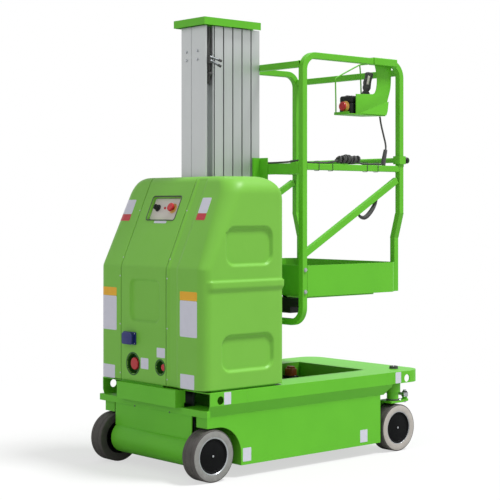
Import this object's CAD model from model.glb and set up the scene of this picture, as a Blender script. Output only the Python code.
"""Looks of a self-propelled vertical mast lift, parked with its mast down.

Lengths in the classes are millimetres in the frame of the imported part: +X forward, +Y left, +Z up.
A new piece is a set of patches, each worked out as whole arrays, cast into one mesh in metres.
"""

import logging
import math
from collections.abc import Iterable, Sequence
from dataclasses import dataclass, field
from enum import Enum

import bmesh
import bpy
import numpy as np
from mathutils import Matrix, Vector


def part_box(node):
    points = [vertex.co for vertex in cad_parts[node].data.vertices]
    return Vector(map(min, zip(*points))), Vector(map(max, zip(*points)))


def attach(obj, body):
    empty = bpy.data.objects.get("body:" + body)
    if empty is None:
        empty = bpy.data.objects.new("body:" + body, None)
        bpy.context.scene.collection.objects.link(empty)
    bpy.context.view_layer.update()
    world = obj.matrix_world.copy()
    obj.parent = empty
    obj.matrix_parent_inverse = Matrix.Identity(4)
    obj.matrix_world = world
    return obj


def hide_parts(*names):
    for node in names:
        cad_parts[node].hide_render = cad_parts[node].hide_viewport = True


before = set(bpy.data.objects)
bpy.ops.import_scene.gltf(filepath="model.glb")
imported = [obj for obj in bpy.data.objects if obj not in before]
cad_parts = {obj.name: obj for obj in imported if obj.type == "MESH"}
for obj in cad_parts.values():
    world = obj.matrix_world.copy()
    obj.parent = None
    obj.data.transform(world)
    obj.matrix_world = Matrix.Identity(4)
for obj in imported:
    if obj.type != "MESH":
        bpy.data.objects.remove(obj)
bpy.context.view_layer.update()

LOG = logging.getLogger("mast_lift")
METRE = 0.001
FULL_TURN = 2 * math.pi

Points = np.ndarray
Patch = tuple[np.ndarray, list]


class Side(Enum):
    """Side of the machine, as the sign of Y."""

    LEFT = 1
    RIGHT = -1


class Grain(Enum):
    """How the surface was made, which sets the small relief that it shows."""

    SPRAYED = "fine orange peel of sprayed or powder paint"
    MOULDED = "soft waviness of a moulded shell"
    DRAWN = "long lines of a drawn or extruded metal"
    SPARKED = "fine even texture of a moulded plastic part"
    CAST = "open texture of cast rubber or rough metal"
    PLAIN = "no relief that shows"


# ---------------------------------------------------------------- shapes


def arc(cx: float, cy: float, r: float, start: float, end: float, steps: int) -> Points:
    """Points on a circle of radius r about (cx, cy), from one angle in degrees to another.

    Returns:
        An array of steps + 1 points.
    """
    a = np.radians(np.linspace(start, end, steps + 1))
    return np.stack([cx + r * np.cos(a), cy + r * np.sin(a)], 1)


def rounded_outline(width: float, height: float, r: float, steps: int = 6) -> Points:
    """Outline of a rectangle with rounded corners, anticlockwise: a quarter circle at each corner."""
    w, h = width / 2 - r, height / 2 - r
    return np.concatenate([
        arc(w, h, r, 0, 90, steps),
        arc(-w, h, r, 90, 180, steps),
        arc(-w, -h, r, 180, 270, steps),
        arc(w, -h, r, 270, 360, steps),
    ])


def round_outline(d: float, steps: int = 32) -> Points:
    """Outline of a circle of diameter d, anticlockwise."""
    return arc(0, 0, d / 2, 0, 360, steps)[:-1]


def dense(outline: Points, count: int) -> Points:
    """The same closed outline with its points evenly spread along it, interpolated over its length."""
    loop = np.concatenate([outline, outline[:1]])
    way = np.concatenate([[0], np.cumsum(np.linalg.norm(np.diff(loop, axis=0), axis=1))])
    at = np.linspace(0, way[-1], count, endpoint=False)
    return np.stack([np.interp(at, way, loop[:, k]) for k in (0, 1)], 1)


def grid(points: Points, close_rows: bool = False, close_cols: bool = False) -> Patch:
    """Quads over a grid of points.

    Args:
        points: rows by columns by 3.
        close_rows: the last row joins the first.
        close_cols: the last column joins the first.

    Returns:
        The points as one list, and the faces as indices into it.
    """
    rows, cols = points.shape[:2]
    r, c = np.meshgrid(
        np.arange(rows if close_rows else rows - 1),
        np.arange(cols if close_cols else cols - 1),
        indexing="ij",
    )
    r2, c2 = (r + 1) % rows, (c + 1) % cols
    faces = np.stack([r * cols + c, r * cols + c2, r2 * cols + c2, r2 * cols + c], -1)
    return points.reshape(-1, 3), faces.reshape(-1, 4).tolist()


def placed(patch: Patch, origin: Sequence[float], x: Sequence[float], y: Sequence[float]) -> Patch:
    """Moves a patch from its own axes to the machine's: origin + x times X + y times Y + z times their cross."""
    points, faces = patch
    ax = np.asarray(x, float) / np.linalg.norm(x)
    ay = np.asarray(y, float) / np.linalg.norm(y)
    return np.asarray(origin, float) + points @ np.stack([ax, ay, np.cross(ax, ay)]), faces


def across(axis: Sequence[float]) -> tuple[Points, Points]:
    """Two unit vectors at right angles to an axis, so that their cross product is the axis."""
    a = np.asarray(axis, float) / np.linalg.norm(axis)
    helper = np.array([0.0, 0.0, 1.0]) if abs(a[2]) < 0.9 else np.array([1.0, 0.0, 0.0])
    x = np.cross(helper, a)
    x /= np.linalg.norm(x)
    return x, np.cross(a, x)


def lathe(profile: Sequence, origin: Sequence[float], axis: Sequence[float], steps: int = 48,
          closed: bool = False) -> Patch:
    """Turned shape: each profile point (radius, height) goes round the axis.

    Args:
        profile: radius and height along the axis, from one end to the other.
        origin: where height is zero.
        axis: direction of height.
        steps: sides of each circle.
        closed: the profile is a loop, as on a ring.

    Returns:
        The turned patch.
    """
    p = np.asarray(profile, float)
    a = np.linspace(0, FULL_TURN, steps, endpoint=False)
    ring = np.stack([
        p[:, :1] * np.cos(a),
        p[:, :1] * np.sin(a),
        np.repeat(p[:, 1:], steps, 1),
    ], -1)
    x, y = across(axis)
    return placed(grid(ring, close_rows=closed, close_cols=True), origin, x, y)


def slab(outline: Points, depth: float, edge: float = 0.5, steps: int = 3) -> Patch:
    """Plate over an outline, from z = 0 to depth, with rounded edges.

    The outline moves inwards along its own normals as a quarter circle says, at the bottom and the top.

    Args:
        outline: points anticlockwise, seen from +z.
        depth: thickness of the plate.
        edge: radius of the rounded edges.
        steps: facets round each edge.

    Returns:
        The closed plate.
    """
    o = np.asarray(outline, float)
    ahead, behind = np.roll(o, -1, 0) - o, o - np.roll(o, 1, 0)
    ahead /= np.linalg.norm(ahead, axis=1)[:, None] + 1e-9
    behind /= np.linalg.norm(behind, axis=1)[:, None] + 1e-9
    mid = ahead + behind
    mid /= np.linalg.norm(mid, axis=1)[:, None] + 1e-9
    inward = np.stack([-mid[:, 1], mid[:, 0]], 1)
    q = np.linspace(0, math.pi / 2, steps + 1)
    inset = np.concatenate([edge * (1 - np.sin(q)), edge * (1 - np.cos(q))])
    height = np.concatenate([edge * (1 - np.cos(q)), depth - edge * (1 - np.sin(q))])
    flat = o[None] + inset[:, None, None] * inward[None]
    rows = np.concatenate([flat, np.broadcast_to(height[:, None, None], flat.shape[:2] + (1,))], -1)
    points, faces = grid(rows, close_cols=True)
    n = len(o)
    last = len(points) - n
    faces.append(list(range(n - 1, -1, -1)))
    faces.append(list(range(last, last + n)))
    return points, faces


def brick(low: Sequence[float], high: Sequence[float], edge: float = 1.0, corner: float = 2.0) -> Patch:
    """Block between two corners, with rounded upright corners and rounded edges."""
    lo, hi = np.asarray(low, float), np.asarray(high, float)
    size = hi - lo
    r = min(corner, size[0] / 2 - 0.01, size[1] / 2 - 0.01)
    e = min(edge, size[2] / 2 - 0.01, r)
    points, faces = slab(rounded_outline(size[0], size[1], r, 4), size[2], e)
    return points + [lo[0] + size[0] / 2, lo[1] + size[1] / 2, lo[2]], faces


def smooth_path(points: Sequence, count: int) -> Points:
    """Smooth curve through points: cubic pieces whose slopes are those of the neighbours' chords.

    Args:
        points: places to go through.
        count: how many points the curve gets, evenly spread over the pieces.

    Returns:
        count points.
    """
    p = np.asarray(points, float)
    slope = np.gradient(p, axis=0)
    t = np.linspace(0, len(p) - 1, count)
    i = np.minimum(t.astype(int), len(p) - 2)
    f = (t - i)[:, None]
    h0, h1 = 2 * f**3 - 3 * f**2 + 1, f**3 - 2 * f**2 + f
    return h0 * p[i] + h1 * slope[i] + (1 - h0) * p[i + 1] + (f**3 - f**2) * slope[i + 1]


def tube(path: Points, radius: float | Points, steps: int = 12, lean: Sequence[float] = (0.31, 0.23, 0.92),
         closed: bool = False) -> Patch:
    """Round bar along a path: a circle across the path's direction at each of its points.

    Args:
        path: points along the middle.
        radius: one radius, or one for each point.
        steps: sides of the circle.
        lean: a direction that the path never takes, from which the circle's start is measured.
        closed: the path is a loop.

    Returns:
        The closed bar, with flat ends where the path isn't a loop.
    """
    p = np.asarray(path, float)
    along = (np.roll(p, -1, 0) - np.roll(p, 1, 0)) if closed else np.gradient(p, axis=0)
    along /= np.linalg.norm(along, axis=1)[:, None]
    u = np.cross(along, np.asarray(lean, float))
    u /= np.linalg.norm(u, axis=1)[:, None]
    v = np.cross(along, u)
    a = np.linspace(0, FULL_TURN, steps, endpoint=False)
    r = np.broadcast_to(np.asarray(radius, float).reshape(-1, 1, 1), (len(p), 1, 1))
    rows = p[:, None] + r * (np.cos(a)[None, :, None] * u[:, None] + np.sin(a)[None, :, None] * v[:, None])
    points, faces = grid(rows, close_rows=closed, close_cols=True)
    if not closed:
        last = len(points) - steps
        faces.append(list(range(steps - 1, -1, -1)))
        faces.append(list(range(last, last + steps)))
    return points, faces


def hex_bolt(at: Sequence[float], axis: Sequence[float], size: float, washer: bool = True) -> list[Patch]:
    """Hexagon head on a washer: two turned shapes, the head with six sides.

    Args:
        at: middle of the seat.
        axis: direction that the head points in.
        size: thread diameter, from which the head's sizes follow.
        washer: whether a washer lies under the head.

    Returns:
        The patches.
    """
    seat = 0.16 * size if washer else 0.0
    head = [(0, seat), (0.9 * size, seat), (0.92 * size, seat + 0.5 * size), (0.8 * size, seat + 0.62 * size),
            (0, seat + 0.62 * size)]
    parts = [lathe(head, at, axis, 6)]
    if washer:
        ring = [(0, 0), (1.08 * size, 0), (1.12 * size, 0.05 * size), (1.1 * size, seat), (0, seat)]
        parts.append(lathe(ring, at, axis, 20))
    return parts


def pan_screw(at: Sequence[float], axis: Sequence[float], d: float) -> Patch:
    """Low domed screw head: a turned quarter ellipse."""
    q = np.linspace(0, math.pi / 2, 6)
    dome = np.stack([d / 2 * np.cos(q), 0.1 * d + 0.22 * d * np.sin(q)], 1)
    return lathe(np.concatenate([[[0, 0], [d / 2, 0]], dome]), at, axis, 20)


def soft_step(x: Points, width: float) -> Points:
    """Rises from 0 to 1 as x goes from -width / 2 to width / 2, with level ends."""
    t = np.clip(x / width + 0.5, 0, 1)
    return t * t * (3 - 2 * t)


def cast(name: str, patches: Iterable[Patch], finish: "Finish", body: str, *, smooth: float = 32,
         outward: bool = True, wall: float = 0, bevel: float = 0, level: int = 0) -> bpy.types.Object:
    """Turns patches into one object that rides on a body.

    Args:
        name: name of the piece.
        patches: points in millimetres and faces.
        finish: what it is made of.
        body: CAD body that carries it.
        smooth: angle in degrees up to which neighbouring faces shade as one.
        outward: recalculates the normals, for closed pieces.
        wall: thickness that Solidify gives an open sheet, inwards.
        bevel: width of a bevel on its sharp edges, in millimetres.
        level: subdivision level.

    Returns:
        The object.
    """
    points, faces, base = [], [], 0
    for p, f in patches:
        points.append(p)
        faces.extend([[i + base for i in face] for face in f])
        base += len(p)
    mesh = bpy.data.meshes.new(name)
    mesh.from_pydata((np.concatenate(points) * METRE).tolist(), [], faces)
    shape = bmesh.new()
    shape.from_mesh(mesh)
    bmesh.ops.remove_doubles(shape, verts=shape.verts, dist=0.00001)
    if outward:
        bmesh.ops.recalc_face_normals(shape, faces=shape.faces)
    shape.to_mesh(mesh)
    shape.free()
    mesh.polygons.foreach_set("use_smooth", np.ones(len(mesh.polygons), bool))
    mesh.set_sharp_from_angle(angle=math.radians(smooth))
    piece = bpy.data.objects.new(name, mesh)
    bpy.context.scene.collection.objects.link(piece)
    if wall:
        solid = piece.modifiers.new("wall", "SOLIDIFY")
        solid.thickness = wall * METRE
        solid.offset = -1
        solid.use_rim = True
    if bevel:
        cut = piece.modifiers.new("edge", "BEVEL")
        cut.width = bevel * METRE
        cut.segments = 2
        cut.limit_method = "ANGLE"
    if level:
        soft = piece.modifiers.new("soft", "SUBSURF")
        soft.levels = level
        soft.render_levels = level
    mesh.materials.append(finish.material())
    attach(piece, body)
    LOG.info("%s: %d points, rides on %s", name, base, body)
    return piece


# ---------------------------------------------------------------- finishes


def linear(code: str) -> tuple[float, float, float, float]:
    """sRGB hex colour as linear light."""
    v = np.array([int(code[i:i + 2], 16) for i in (1, 3, 5)]) / 255
    out = np.where(v <= 0.04045, v / 12.92, ((v + 0.055) / 1.055) ** 2.4)
    return float(out[0]), float(out[1]), float(out[2]), 1.0


def add_node(tree: bpy.types.NodeTree, kind: str, inputs: dict | None = None, **settings) -> bpy.types.Node:
    """Adds a node.

    Args:
        tree: node tree that gets it.
        kind: Blender's name of the node type, without the ShaderNode in front.
        inputs: value or output socket for each input, by name or number.
        **settings: the node's own properties.

    Returns:
        The node.
    """
    node = tree.nodes.new("ShaderNode" + kind)
    for key, value in settings.items():
        setattr(node, key, value)
    for key, value in (inputs or {}).items():
        if isinstance(value, bpy.types.NodeSocket):
            tree.links.new(value, node.inputs[key])
        else:
            node.inputs[key].default_value = value
    return node


@dataclass(frozen=True)
class Finish:
    """One real finish. Colours are sRGB hex, lengths millimetres."""

    name: str
    colour: str
    shade: str
    roughness: float
    grain: Grain = Grain.SPRAYED
    metallic: float = 0.0
    ior: float = 1.5
    specular: float = 0.5
    coat: float = 0.0
    coat_roughness: float = 0.08
    patch_size: float = 180.0
    patch_share: float = 0.35
    grain_size: float = 2.5
    grain_depth: float = 0.02
    rough_spread: float = 0.06
    edge: float = 1.2
    edge_colour: str = "#ffffff"
    edge_share: float = 0.0

    def material(self) -> bpy.types.Material:
        """The finish as a material, made once and then shared."""
        done = bpy.data.materials.get(self.name)
        if done:
            return done
        material = bpy.data.materials.new(self.name)
        material.use_nodes = True
        tree = material.node_tree
        tree.nodes.clear()
        place = add_node(tree, "TexCoord").outputs["Object"]
        patches = add_node(tree, "TexNoise", {
            "Vector": place, "Scale": 1 / (self.patch_size * METRE), "Detail": 3.0, "Roughness": 0.55,
        })
        share = add_node(tree, "MapRange", {
            "Value": patches.outputs["Fac"], "From Min": 0.35, "From Max": 0.68,
            "To Min": 0.0, "To Max": self.patch_share,
        })
        tint = add_node(tree, "Mix", {
            0: share.outputs[0], 6: linear(self.colour), 7: linear(self.shade),
        }, data_type="RGBA")
        colour = tint.outputs[2]
        relief = self.relief(tree, place)
        rough = add_node(tree, "MapRange", {
            "Value": relief, "To Min": self.roughness - self.rough_spread,
            "To Max": self.roughness + self.rough_spread,
        })
        normal = None
        if self.edge:
            normal = add_node(tree, "Bevel", {"Radius": self.edge * METRE}, samples=6).outputs[0]
        if self.edge_share:
            colour = self.worn(tree, place, normal, colour)
        if self.grain is not Grain.PLAIN:
            bump = {"Height": relief, "Distance": self.grain_depth * METRE, "Strength": 1.0}
            if normal:
                bump["Normal"] = normal
            normal = add_node(tree, "Bump", bump).outputs[0]
        shader = {
            "Base Color": colour, "Roughness": rough.outputs[0], "Metallic": self.metallic,
            "Coat Weight": self.coat, "Coat Roughness": self.coat_roughness,
        }
        if not self.metallic:
            shader["IOR"] = self.ior
            shader["Specular IOR Level"] = self.specular
        if normal:
            shader["Normal"] = normal
        surface = add_node(tree, "BsdfPrincipled", shader)
        add_node(tree, "OutputMaterial", {"Surface": surface.outputs[0]})
        return material

    def relief(self, tree: bpy.types.NodeTree, place: bpy.types.NodeSocket) -> bpy.types.NodeSocket:
        """Height of the small relief, 0 to 1, at its real size: long lines for drawn metal, else noise."""
        stretch = (1.0, 1.0, 0.01) if self.grain is Grain.DRAWN else (1.0, 1.0, 1.0)
        mapped = add_node(tree, "Mapping", {"Vector": place, "Scale": stretch})
        noise = add_node(tree, "TexNoise", {
            "Vector": mapped.outputs[0], "Scale": 1 / (self.grain_size * METRE),
            "Detail": 4.0 if self.grain in (Grain.DRAWN, Grain.CAST) else 1.0,
        })
        return noise.outputs["Fac"]

    def worn(self, tree: bpy.types.NodeTree, place: bpy.types.NodeSocket, round_normal: bpy.types.NodeSocket,
             colour: bpy.types.NodeSocket) -> bpy.types.NodeSocket:
        """Mixes in the edge colour where the rounded normal leaves the flat one, broken up by noise."""
        flat = add_node(tree, "NewGeometry").outputs["True Normal"]
        meet = add_node(tree, "VectorMath", {0: round_normal, 1: flat}, operation="DOT_PRODUCT")
        edge = add_node(tree, "MapRange", {"Value": meet.outputs["Value"], "From Min": 0.995, "From Max": 0.86})
        break_up = add_node(tree, "TexNoise", {"Vector": place, "Scale": 1 / (25 * METRE), "Detail": 4.0})
        spots = add_node(tree, "MapRange", {
            "Value": break_up.outputs["Fac"], "From Min": 0.4, "From Max": 0.62, "To Max": self.edge_share,
        })
        both = add_node(tree, "Math", {0: edge.outputs[0], 1: spots.outputs[0]}, operation="MULTIPLY")
        mix = add_node(tree, "Mix", {0: both.outputs[0], 6: colour, 7: linear(self.edge_colour)}, data_type="RGBA")
        return mix.outputs[2]


# Powder-coated steel: even colour, faint orange peel, edges a little paler where the coat is thin.
PAINT = Finish("powder_coat_lime", "#6ac82f", "#5fbc29", 0.44, ior=1.33, coat=0.04, coat_roughness=0.2,
               edge_colour="#a6ea6e", edge_share=0.5)
# Gel-coated moulded shell: lighter and softer in its gloss than the painted steel, with slow waves.
SHELL = Finish("gelcoat_lime", "#7dc544", "#74bb3d", 0.46, Grain.MOULDED, ior=1.4, coat=0.08, coat_roughness=0.32,
               patch_size=260, grain_size=45, grain_depth=0.25, edge=0.8)
# Anodised aluminium extrusion: matt silver with fine lines along the drawing direction.
ALLOY = Finish("anodised_aluminium", "#c9cccc", "#bcc0c1", 0.42, Grain.DRAWN, metallic=0.75, grain_size=1.6,
               grain_depth=0.03, patch_size=300, edge=0.6, edge_colour="#e6e8e8", edge_share=0.4)
# Zinc-plated fastener: cool and fairly bright.
ZINC = Finish("zinc_plated_steel", "#c2c5c8", "#aaaeb2", 0.3, metallic=1.0, grain_size=0.6, patch_size=12, edge=0.3)
# Plated hose ends, dulled by handling.
DULL_ZINC = Finish("dull_plated_steel", "#7c8083", "#64686b", 0.5, metallic=0.9, grain_size=0.8, patch_size=10, edge=0.4)
# Bare dark steel of axles and pins, lightly oiled.
STEEL = Finish("oiled_dark_steel", "#55585a", "#44474a", 0.42, metallic=0.9, grain_size=1.0, patch_size=30, edge=0.5)
# Solid rubber tread, dusty grey from rolling.
TREAD = Finish("solid_rubber_tread", "#4b4846", "#5d5855", 0.72, Grain.CAST, grain_size=1.2, grain_depth=0.08,
               patch_size=40, patch_share=0.6, edge=1.0)
# Side ring of a non-marking tyre: grey and scuffed at the rear, paler at the front.
SIDE_GREY = Finish("grey_tyre_side", "#8b8b88", "#9b9b97", 0.6, Grain.CAST, grain_size=1.4, grain_depth=0.05,
                   patch_size=30, patch_share=0.7, edge=0.8)
SIDE_PALE = Finish("pale_tyre_side", "#c1bbb4", "#b2aca5", 0.6, Grain.CAST, grain_size=1.4, grain_depth=0.05,
                   patch_size=30, patch_share=0.7, edge=0.8)
# Black painted wheel disc, satin.
DISC = Finish("satin_black_enamel", "#0e0f10", "#17181a", 0.52, ior=1.3, specular=0.2, grain_size=1.5,
              patch_size=50, edge=0.8)
# Black injection-moulded housing with a fine spark texture.
HOUSING = Finish("black_moulded_plastic", "#141517", "#1c1d20", 0.5, Grain.SPARKED, grain_size=0.9,
                 grain_depth=0.03, patch_size=60, edge=0.8, specular=0.3)
# Black rubber of hoses, boots and buffers: dull, with a little grey bloom.
RUBBER = Finish("black_rubber", "#0c0c0d", "#171616", 0.66, Grain.CAST, grain_size=1.5, grain_depth=0.03,
                patch_size=20, patch_share=0.5, edge=0.6, ior=1.33, specular=0.25)
# Grey floor plate, worn by shoes.
FLOOR = Finish("worn_grey_steel", "#83878a", "#6f7376", 0.5, Grain.CAST, metallic=0.6, grain_size=3.0,
               grain_depth=0.05, patch_size=60, patch_share=0.6, edge=0.6)
# Laminated control plate, warm white.
PLATE = Finish("laminated_panel", "#ddd6cf", "#d3ccc6", 0.38, Grain.SPARKED, grain_size=0.8, edge=0.4)
# Printed vinyl without print: white, red and yellow fields.
WHITE_VINYL = Finish("white_vinyl", "#dcdcea", "#d2d2e0", 0.4, Grain.PLAIN, patch_size=30, edge=0.0)
RED_VINYL = Finish("red_vinyl", "#c8283a", "#b82434", 0.4, Grain.PLAIN, patch_size=30, edge=0.0)
YELLOW_VINYL = Finish("yellow_vinyl", "#f2b616", "#eaa90f", 0.4, Grain.PLAIN, patch_size=30, edge=0.0)
# Small moulded parts in colour.
RED = Finish("red_moulded_plastic", "#c8222a", "#b81c24", 0.32, Grain.SPARKED, grain_size=0.9, edge=0.6)
AMBER = Finish("yellow_moulded_plastic", "#e8b45a", "#dfa748", 0.38, Grain.SPARKED, grain_size=0.9, edge=0.6)
BLUE = Finish("blue_moulded_plastic", "#122272", "#0f1c60", 0.42, Grain.SPARKED, grain_size=0.9, edge=0.6)
# Deep green cups behind the release knobs.
CUP = Finish("shaded_green_plastic", "#1d5a12", "#184c0f", 0.5, Grain.SPARKED, grain_size=0.9, edge=0.6)
# Orange-brown enamel on the main contactor, and the ribbed battery case.
RUST = Finish("orange_brown_enamel", "#a5521e", "#8e4316", 0.45, grain_size=1.5, patch_size=40, edge=0.6)
BATTERY = Finish("battery_case", "#2a2b2e", "#34353a", 0.5, Grain.SPARKED, grain_size=0.9, edge=1.5)


def dress(nodes: Iterable[str], finish: Finish) -> None:
    """Gives CAD nodes a finish through their material slots."""
    for name in nodes:
        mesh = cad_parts[name].data
        mesh.materials.clear()
        mesh.materials.append(finish.material())


# ---------------------------------------------------------------- studio


@dataclass
class Studio:
    """Floor, lamps, sky and camera. Lengths are metres here."""

    eye: tuple[float, float, float] = (-4.4445, -4.980, 1.202)
    gaze: tuple[float, float, float] = (0.660, 0.751, 0.0)
    lens: float = 98.6
    shift: float = -0.085
    sun_from: tuple[float, float, float] = (0.27, -0.385, 0.883)
    sun_strength: float = 2.85
    sky: float = 0.41

    def camera(self) -> None:
        """Level camera at the photo's place, moved down the frame by its shift alone."""
        data = bpy.data.cameras.new("camera")
        data.lens = self.lens
        data.sensor_width = 36
        data.sensor_fit = "HORIZONTAL"
        data.shift_y = self.shift
        data.clip_end = 100
        eye = bpy.data.objects.new("camera", data)
        eye.location = self.eye
        heading = math.atan2(self.gaze[1], self.gaze[0]) - math.pi / 2
        eye.rotation_euler = (math.pi / 2, 0, heading)
        bpy.context.scene.collection.objects.link(eye)
        bpy.context.scene.camera = eye

    def lamps(self) -> None:
        """A broad high lamp beside the machine, and a low soft one behind it."""
        for name, direction, strength, width in (
            ("high_lamp", self.sun_from, self.sun_strength, 16),
            ("rear_lamp", (-0.85, -0.25, 0.42), 0.25, 50),
        ):
            data = bpy.data.lights.new(name, "SUN")
            data.energy = strength
            data.angle = math.radians(width)
            lamp = bpy.data.objects.new(name, data)
            d = np.asarray(direction) / np.linalg.norm(direction)
            lamp.rotation_euler = (math.acos(d[2]), 0, math.atan2(d[1], d[0]) + math.pi / 2)
            lamp.location = tuple(d * 5)
            bpy.context.scene.collection.objects.link(lamp)

    def world(self) -> None:
        """White to the camera and in reflections, and a plain soft sky as light."""
        world = bpy.data.worlds.new("studio")
        world.use_nodes = True
        tree = world.node_tree
        tree.nodes.clear()
        ray = add_node(tree, "LightPath")
        seen = add_node(tree, "Math", {0: ray.outputs["Is Camera Ray"], 1: ray.outputs["Is Transmission Ray"]},
                        operation="MAXIMUM")
        glossy = add_node(tree, "Math", {0: ray.outputs["Is Glossy Ray"], 1: 0.85}, operation="MULTIPLY")
        most = add_node(tree, "Math", {0: seen.outputs[0], 1: glossy.outputs[0]}, operation="MAXIMUM")
        strength = add_node(tree, "MapRange", {"Value": most.outputs[0], "To Min": self.sky, "To Max": 1.0})
        light = add_node(tree, "Background", {"Color": (1, 1, 1, 1), "Strength": strength.outputs[0]})
        add_node(tree, "OutputWorld", {"Surface": light.outputs[0]})
        bpy.context.scene.world = world

    def floor(self) -> None:
        """Wide pale floor that keeps the machine's shadow, and goes over into white with distance."""
        patch = grid(np.array([[[-14.0, -14, 0], [14, -14, 0]], [[-14, 14, 0], [14, 14, 0]]]))
        mesh = bpy.data.meshes.new("floor")
        mesh.from_pydata(patch[0].tolist(), [], patch[1])
        floor = bpy.data.objects.new("floor", mesh)
        bpy.context.scene.collection.objects.link(floor)
        material = bpy.data.materials.new("studio_floor")
        material.use_nodes = True
        tree = material.node_tree
        tree.nodes.clear()
        ray = add_node(tree, "LightPath")
        place = add_node(tree, "TexCoord").outputs["Object"]
        far = add_node(tree, "VectorMath", {0: place}, operation="LENGTH")
        fade = add_node(tree, "MapRange", {"Value": far.outputs["Value"], "From Min": 0.9, "From Max": 3.2,
                                           "To Min": 0.62, "To Max": 1.0})
        share = add_node(tree, "Math", {0: ray.outputs["Is Camera Ray"], 1: fade.outputs[0]}, operation="MULTIPLY")
        tone = add_node(tree, "Mix", {0: ray.outputs["Is Camera Ray"], 6: (0.55, 0.55, 0.55, 1),
                                      7: (0.86, 0.86, 0.86, 1)}, data_type="RGBA")
        paint = add_node(tree, "BsdfDiffuse", {"Color": tone.outputs[2]})
        white = add_node(tree, "Emission", {"Color": (1, 1, 1, 1), "Strength": 1.0})
        mix = add_node(tree, "MixShader", {0: share.outputs[0], 1: paint.outputs[0], 2: white.outputs[0]})
        add_node(tree, "OutputMaterial", {"Surface": mix.outputs[0]})
        mesh.materials.append(material)

    def build(self) -> None:
        """Sets up everything that isn't the machine."""
        self.camera()
        self.lamps()
        self.world()
        self.floor()
        bpy.context.scene.view_settings.view_transform = "Standard"


# ---------------------------------------------------------------- covers


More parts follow.
